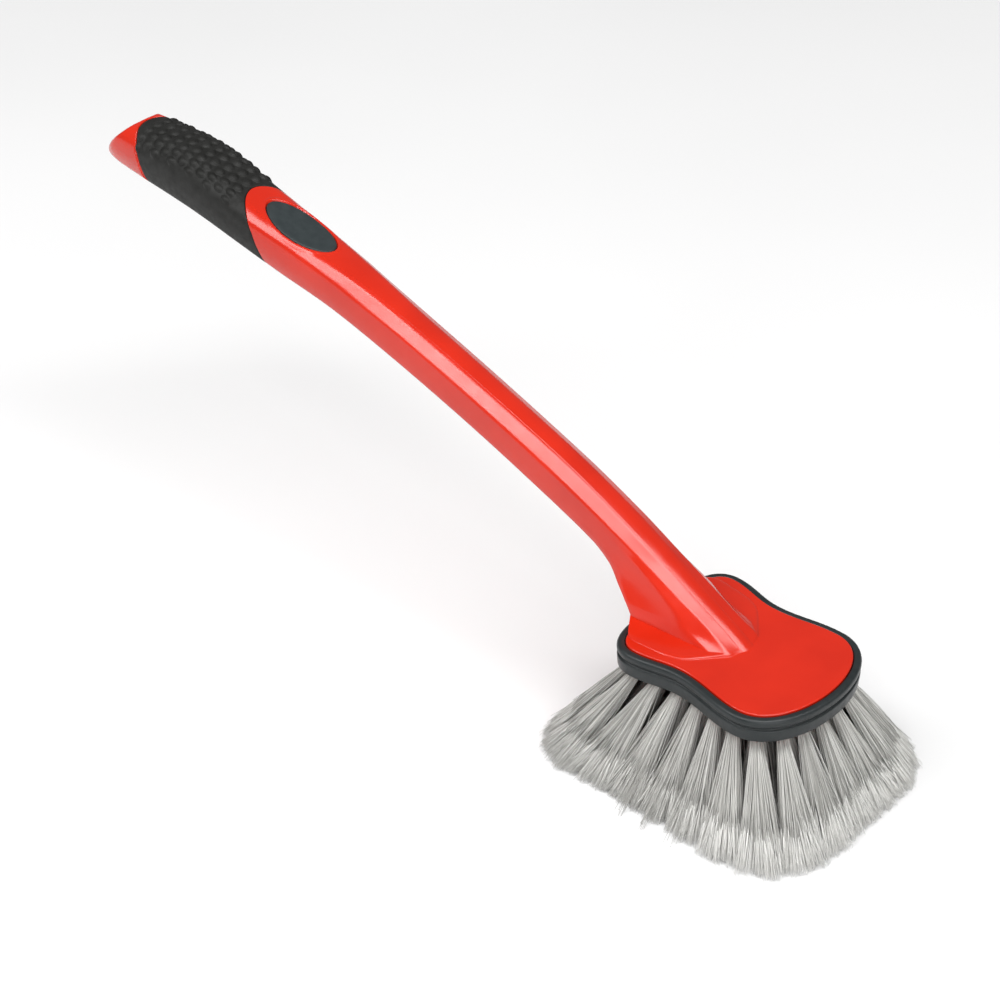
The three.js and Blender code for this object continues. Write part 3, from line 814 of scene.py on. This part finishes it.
def build_pad(material):
    """The oval pad: its underside, its rounded rim, and its slightly dished top."""
    zone = (PLACES > place_at(-250)) & (PLACES < place_at(-310))
    rings = SKIN[zone]
    tree = BVHTree.FromPolygons(rings.reshape(-1, 3).tolist(), ring_faces(*rings.shape[:2]))
    turn = np.linspace(0, 2 * math.pi, 96, endpoint=False)
    oval = np.column_stack([np.cos(turn) * PAD_HALF_LENGTH, np.sin(turn) * PAD_HALF_WIDTH])
    out = np.column_stack([np.cos(turn) / PAD_HALF_LENGTH, np.sin(turn) / PAD_HALF_WIDTH])
    out /= np.linalg.norm(out, axis=1)[:, None]

    def on_handle(flat):
        """The handle's skin over a point of the pad's plane."""
        base = PAD_MIDDLE + flat[0] * PAD_ALONG + np.array([0, flat[1], 0])
        hit = tree.ray_cast(Vector(base + 8 * PAD_UP), Vector(-PAD_UP))[0]
        return np.array(hit)

    floor = PAD_MIDDLE - PAD_DEPTH * PAD_UP
    rings = [[floor + u * PAD_ALONG + np.array([0, v, 0]) for u, v in oval]]
    for angle in np.radians([0, 22, 45, 67, 90]):
        inward = PAD_EDGE_RADIUS * (1 - math.cos(angle))
        sink = PAD_EDGE_RADIUS * (1 - math.sin(angle)) + PAD_SINK
        rings.append([on_handle(p) - sink * PAD_UP for p in oval - out * inward])
    inner = oval - out * PAD_EDGE_RADIUS
    for part in (0.97, 0.9, 0.8, 0.65, 0.5, 0.35, 0.2, 0.08, 0.01):
        dish = PAD_SINK + PAD_DISH * smooth_step(1, 0.55, part) * (1 - 0.35 * part)
        rings.append([on_handle(p * part) - dish * PAD_UP for p in inner])
    points, faces = ring_mesh(rings)
    piece = make_piece("thumb_rest", points, faces, ["thumb_pad"], [material])
    face_outwards(piece)
    return piece


# ---- the tufts ---------------------------------------------------------------------------
FLAG_START = 14.5  # bristles are split and paler below this height
BUNDLE_RADIUS = 2.3
BUNDLE_FILL = 0.92
ROOT_SINK = 0.8  # how far the filaments' starts are hidden in the head
STEM_RADIUS = 0.18
STEM_STEPS = 6
STEM_OVERLAP = 0.03  # of a filament's length, that a stem reaches into its strands
STRANDS = 2
STRAND_RADIUS = 0.12
STRAND_TAPER = np.array([1.25, 1.1, 0.9, 0.6])
STRAND_CURL = 1.3
FILAMENTS = {"outer": 430, "middle": 270, "inner": 160, "centre": 160}
SIDES = 4
NEVER_ALONG = [0.31, 0.95, 0.05]  # no filament runs this way
UPRIGHT = 0.1  # a tuft that leans less than this has no lean of its own

# How wide the tips spread, as shares of the CAD tuft's oval tip.
OUT_SPREAD = 0.7
FRONT_OUT_SPREAD = 1.15
SIDE_SPREAD = 1.4

# Tips gather round a few clumps, and fill part of the square round the tuft's disc.
CLUMPS = 9
CLUMP_REACH = 0.9
CLUMP_PULL = 0.22
RIM_SQUARENESS = 0.7
INNER_SQUARENESS = 0.3

LATE_FAN = 1.5  # a tuft opens more towards its tip the larger this is
SPLAY_OUT = np.array([-6.5, -5.5, 0.8])  # the rear near corner's bristles are bent outwards

# Spreads of the random differences, in millimetres unless said otherwise.
TIP_SCATTER = 0.8
TRIM_SCATTER = 1.6
BOW_SCATTER = 0.9
SPLIT_SCATTER = 0.035  # of a filament's length
STRAND_SCATTER = 0.55
STRAND_RISE_SCATTER = 0.35

# A few dark strays stand out of the outer tufts behind this x.
STRAY_FRONT = 25
STRAY_OUT = 0.6  # where in a tuft they start, as a share of its radius
STRAY_SIZE = 0.1  # of a tuft's radius
STRAY_REACH = (5, 9)

DARK, MID, LIGHT, FLAG, PALE_LIT_FLAG = range(5)  # places of the looks in bristle_looks


def tuft_shape(node):
    """A CAD tuft's root middle, tip middle, and the half axes of its oval tip."""
    points = np.array([v.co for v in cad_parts[node].data.vertices]) / MM
    points = np.unique(points.round(3), axis=0)
    tip_ring = points[points[:, 2] < 0.1]
    root_ring = points[np.abs(points[:, 2] - HEAD_BOTTOM) < 0.1]
    tip = tip_ring.mean(axis=0)
    flat = (tip_ring - tip)[:, :2]
    sizes, axes = np.linalg.eigh(flat.T @ flat * 2 / len(flat))
    half_axes = (axes * np.sqrt(sizes)).T
    return root_ring.mean(axis=0), tip, half_axes


def in_disc(count):
    """Random points of a disc of radius 1."""
    angle = rng.uniform(0, 2 * math.pi, count)
    radius = np.sqrt(rng.uniform(0, 1, count))
    return np.column_stack([np.cos(angle) * radius, np.sin(angle) * radius])


def squared(spots, share):
    """Points of a disc moved a share of the way out to the square round it."""
    longest = np.abs(spots).max(axis=1)
    grown = spots * (np.linalg.norm(spots, axis=1) / longest)[:, None]
    return mix(spots, grown, share)


OUTER_NODES = sorted(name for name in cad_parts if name.startswith("tuft_outer"))
OUTER_TIPS = np.array([tuft_shape(name)[1] for name in OUTER_NODES])


def out_and_along(node, lean):
    """Level directions at a tuft: out of the head, and along the line its tips make."""
    along = np.array([-lean[1], lean[0]])
    if np.linalg.norm(lean) < UPRIGHT:
        along = np.array([0.0, 1.0])
    if node in OUTER_NODES:
        number = OUTER_NODES.index(node)
        along = (OUTER_TIPS[(number + 1) % len(OUTER_TIPS)] - OUTER_TIPS[number - 1])[:2]
    along /= np.linalg.norm(along)
    return np.array([[along[1], -along[0]], along])


def tip_spots(spots, out, along, tip, half_axes, is_outer):
    """Where the tips of filaments end: neighbouring tufts of the rim merge into one edge."""
    clumps = in_disc(CLUMPS) * CLUMP_REACH
    nearest = np.argmin(np.linalg.norm(spots[:, None] - clumps[None], axis=2), axis=1)
    squareness = RIM_SQUARENESS if is_outer else INNER_SQUARENESS
    pulled = squared(mix(spots, clumps[nearest], CLUMP_PULL), squareness)
    front_corner = smooth_step(0, 45, tip[0]) * smooth_step(10, -30, tip[1])
    out_spread = mix(OUT_SPREAD, FRONT_OUT_SPREAD, front_corner)
    reach_out = np.linalg.norm(half_axes @ out) * out_spread
    reach_along = np.linalg.norm(half_axes @ along) * SIDE_SPREAD
    far_out = pulled[:, :1] * reach_out + rng.normal(0, TIP_SCATTER, (len(spots), 1))
    far_along = pulled[:, 1:] * reach_along + rng.normal(0, TIP_SCATTER, (len(spots), 1))
    return far_out * out + far_along * along


def in_rear_corner(tip, spread):
    """How much each filament's tip belongs to the head's rear near corner, from 0 to 1."""
    rear = smooth_step(30, 60, -tip[0] - spread[:, :1])
    near = smooth_step(-14, -40, tip[1] + spread[:, 1:])
    return rear * near


def tubes(paths, radii, turns):
    """Thin closed tubes along paths (tube, step, 3), with a radius for every step."""
    count, steps = paths.shape[:2]
    along = paths[:, -1] - paths[:, 0]
    along /= np.linalg.norm(along, axis=1)[:, None]
    side = np.cross(along, NEVER_ALONG)
    side /= np.linalg.norm(side, axis=1)[:, None]
    other = np.cross(along, side)
    angle = (turns[:, None] + np.arange(SIDES) / SIDES * 2 * math.pi)[..., None]
    spokes = side[:, None] * np.cos(angle) + other[:, None] * np.sin(angle)
    points = paths[:, :, None] + spokes[:, None] * radii[:, :, None, None]
    step, corner = np.meshgrid(np.arange(steps - 1), np.arange(SIDES), indexing="ij")
    after = (corner + 1) % SIDES
    quads = np.stack(
        [
            step * SIDES + corner,
            step * SIDES + after,
            (step + 1) * SIDES + after,
            (step + 1) * SIDES + corner,
        ],
        -1,
    ).reshape(-1, 4)
    start_cap = np.arange(SIDES)[::-1][None]
    end_cap = (steps - 1) * SIDES + np.arange(SIDES)[None]
    one = np.vstack([quads, start_cap, end_cap])
    faces = (one[None] + (np.arange(count) * steps * SIDES)[:, None, None]).reshape(-1, SIDES)
    return points.reshape(-1, 3), faces, len(one)


def strand_looks(count, pale_and_lit_share):
    """Looks of split ends: mostly pale where the pale share is high, which partly paints light
    on the front tufts; mixed elsewhere.
    """
    mixed = rng.integers(MID, FLAG + 1, count)
    is_pale = rng.random(count) < pale_and_lit_share
    pale = rng.integers(FLAG, PALE_LIT_FLAG + 1, count)
    return np.where(is_pale, pale, mixed)


def build_tuft(node, materials):
    """One tuft: filaments that fan out from the CAD tuft's root and split near their tips."""
    root, tip, half_axes = tuft_shape(node)
    ring_name = node.split("_")[1]
    is_outer = ring_name == "outer"
    count = FILAMENTS[ring_name]
    spot = in_disc(count)
    out, along = out_and_along(node, (tip - root)[:2])
    flat = spot[:, :1] * out + spot[:, 1:] * along
    at_root = np.column_stack([flat * BUNDLE_RADIUS * BUNDLE_FILL, np.full(count, ROOT_SINK)])
    spread = tip_spots(spot, out, along, tip, half_axes, is_outer)
    at_tip = np.column_stack([spread, np.abs(rng.normal(0, TRIM_SCATTER, count))])
    rear_corner = in_rear_corner(tip, spread)
    at_tip += rear_corner * SPLAY_OUT
    stray = np.zeros(count, bool)
    if is_outer and tip[0] < STRAY_FRONT:
        stray_spot = [STRAY_OUT, rng.uniform(-0.6, 0.6)]
        stray = np.linalg.norm(spot - stray_spot, axis=1) < STRAY_SIZE
        stray &= rear_corner[:, 0] < 0.3
        at_tip[stray, :2] += out * rng.uniform(*STRAY_REACH, (stray.sum(), 1))
    bow = np.column_stack([rng.normal(0, BOW_SCATTER, (count, 2)), np.zeros(count)])

    def on_path(part):
        part = np.asarray(part)[..., None]
        fan = mix(at_root[:, None], at_tip[:, None], part**LATE_FAN)
        return mix(root, tip, part) + fan + bow[:, None] * np.sin(np.pi * part)

    split = 1 - FLAG_START / HEAD_BOTTOM + rng.normal(0, SPLIT_SCATTER, count)
    stem_parts = np.linspace(0, 1, STEM_STEPS)[None] * (split + STEM_OVERLAP)[:, None]
    stem_radii = np.full((count, STEM_STEPS), STEM_RADIUS) * rng.uniform(0.85, 1.15, (count, 1))
    stems = tubes(on_path(stem_parts), stem_radii, rng.uniform(0, 2, count))
    points, faces = [stems[0]], [stems[1]]
    face_looks = [np.repeat(rng.integers(DARK, LIGHT + 1, count), stems[2])]
    # Split ends turn paler towards the front of the head: partly the flags' own paler grey,
    # partly painted light falling on the front.
    pale_and_lit_share = 0.95 * smooth_step(-5, 45, tip[0])
    strand_part = np.linspace(0, 1, len(STRAND_TAPER))[None]
    strand_radii = STRAND_RADIUS * STRAND_TAPER[None] * np.ones((count, 1))
    for _ in range(STRANDS):
        level = rng.normal(0, STRAND_SCATTER, (count, 2))
        rise = rng.normal(0, STRAND_RISE_SCATTER, count)
        apart = np.column_stack([level, rise])
        paths = on_path(mix(split[:, None], 1, strand_part))
        paths = paths + apart[:, None] * strand_part[..., None] ** STRAND_CURL
        paths[..., 2] = np.maximum(paths[..., 2], 0)
        strands = tubes(paths, strand_radii, rng.uniform(0, 2, count))
        faces.append(strands[1] + sum(len(p) for p in points))
        points.append(strands[0])
        looks = strand_looks(count, pale_and_lit_share)
        looks[stray] = DARK
        face_looks.append(np.repeat(looks, strands[2]))
    return make_piece(
        node.replace("tuft", "bristles"),
        np.vstack(points),
        np.vstack(faces).tolist(),
        [node],
        materials,
        np.concatenate(face_looks).tolist(),
    )


# ---- the room ----------------------------------------------------------------------------
# The room is worked out in metres. The camera's place was fitted to the photograph's view.
CAMERA_AIM = Vector((-0.1074, -0.0462, 0.1169))
CAMERA_AZIMUTH = math.radians(43.08)
CAMERA_ELEVATION = math.radians(35.58)
CAMERA_DISTANCE = 1.35
LENS_MM = 108
SENSOR_MM = 36
LIGHT_AIM = Vector((-0.18, 0, 0.1))
LIGHT_DISTANCE = 2.4
FLOOR_REACH = 12
FLOOR_LEVEL = -0.0006  # just under the bristle tips


def make_camera():
    data = bpy.data.cameras.new("camera")
    data.lens = LENS_MM
    data.sensor_width = SENSOR_MM
    data.clip_start = 0.05
    data.clip_end = 20
    camera = bpy.data.objects.new("camera", data)
    bpy.context.scene.collection.objects.link(camera)
    back = Vector(
        (
            math.sin(CAMERA_AZIMUTH) * math.cos(CAMERA_ELEVATION),
            -math.cos(CAMERA_AZIMUTH) * math.cos(CAMERA_ELEVATION),
            math.sin(CAMERA_ELEVATION),
        )
    )
    camera.location = CAMERA_AIM + back * CAMERA_DISTANCE
    camera.rotation_mode = "QUATERNION"
    camera.rotation_quaternion = (-back).to_track_quat("-Z", "Y")
    bpy.context.scene.camera = camera


def area_light(name, towards, size, radiance, turn_to=(1, 0, 0)):
    """A soft box in a direction from the brush, with its long side along turn_to."""
    data = bpy.data.lights.new(name, "AREA")
    data.shape = "RECTANGLE"
    data.size, data.size_y = size
    data.energy = radiance * math.pi * size[0] * size[1]
    light = bpy.data.objects.new(name, data)
    bpy.context.scene.collection.objects.link(light)
    direction = Vector(towards).normalized()
    light.location = LIGHT_AIM + direction * LIGHT_DISTANCE
    across = (Vector(turn_to) - direction * direction.dot(Vector(turn_to))).normalized()
    upward = direction.cross(across)
    light.rotation_mode = "QUATERNION"
    light.rotation_quaternion = Matrix((across, upward, direction)).transposed().to_quaternion()


def make_background():
    """A dim, even white surround, shown without a film-like tone curve."""
    world = bpy.data.worlds.new("studio")
    bpy.context.scene.world = world
    world.use_nodes = True
    background = world.node_tree.nodes["Background"]
    background.inputs["Color"].default_value = (1, 1, 1, 1)
    background.inputs["Strength"].default_value = 0.25
    bpy.context.scene.view_settings.view_transform = "Standard"


def make_lights():
    """Soft boxes overhead, on the near side and above the front, and a dim one low in front."""
    along = (0.6, 0.8, 0)
    area_light("long_box", (0.248, -0.136, 0.959), (2.6, 0.8), 8, along)
    area_light("side_box", (-0.332, -0.626, 0.706), (1.75, 0.56), 8, along)
    area_light("tip_box", (0.44, 0.37, 0.82), (0.36, 0.3), 8, along)
    area_light("front_box", (0.8, -0.5, 0.33), (2.8, 2), 1.8)


def make_floor():
    look = Look("pale_floor", (0.8, 0.8, 0.8), 0.9)
    look.colours(look.noise(300, 2), (0.79, 0.79, 0.79), (0.81, 0.81, 0.81))
    corner_points = [
        (-FLOOR_REACH, -FLOOR_REACH, FLOOR_LEVEL),
        (FLOOR_REACH, -FLOOR_REACH, FLOOR_LEVEL),
        (FLOOR_REACH, FLOOR_REACH, FLOOR_LEVEL),
        (-FLOOR_REACH, FLOOR_REACH, FLOOR_LEVEL),
    ]
    mesh = bpy.data.meshes.new("floor")
    mesh.from_pydata(corner_points, [], [(0, 1, 2, 3)])
    mesh.materials.append(look.material)
    floor = bpy.data.objects.new("floor", mesh)
    bpy.context.scene.collection.objects.link(floor)


# ---- assembly ----------------------------------------------------------------------------
make_camera()
make_background()
make_lights()
make_floor()
build_handle(red_plastic())
build_bumper(bumper_rubber())
build_sleeve(grip_rubber())
build_pad(pad_rubber())
looks_of_bristles = bristle_looks()
for node in sorted(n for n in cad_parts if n.startswith("tuft_")):
    build_tuft(node, looks_of_bristles)
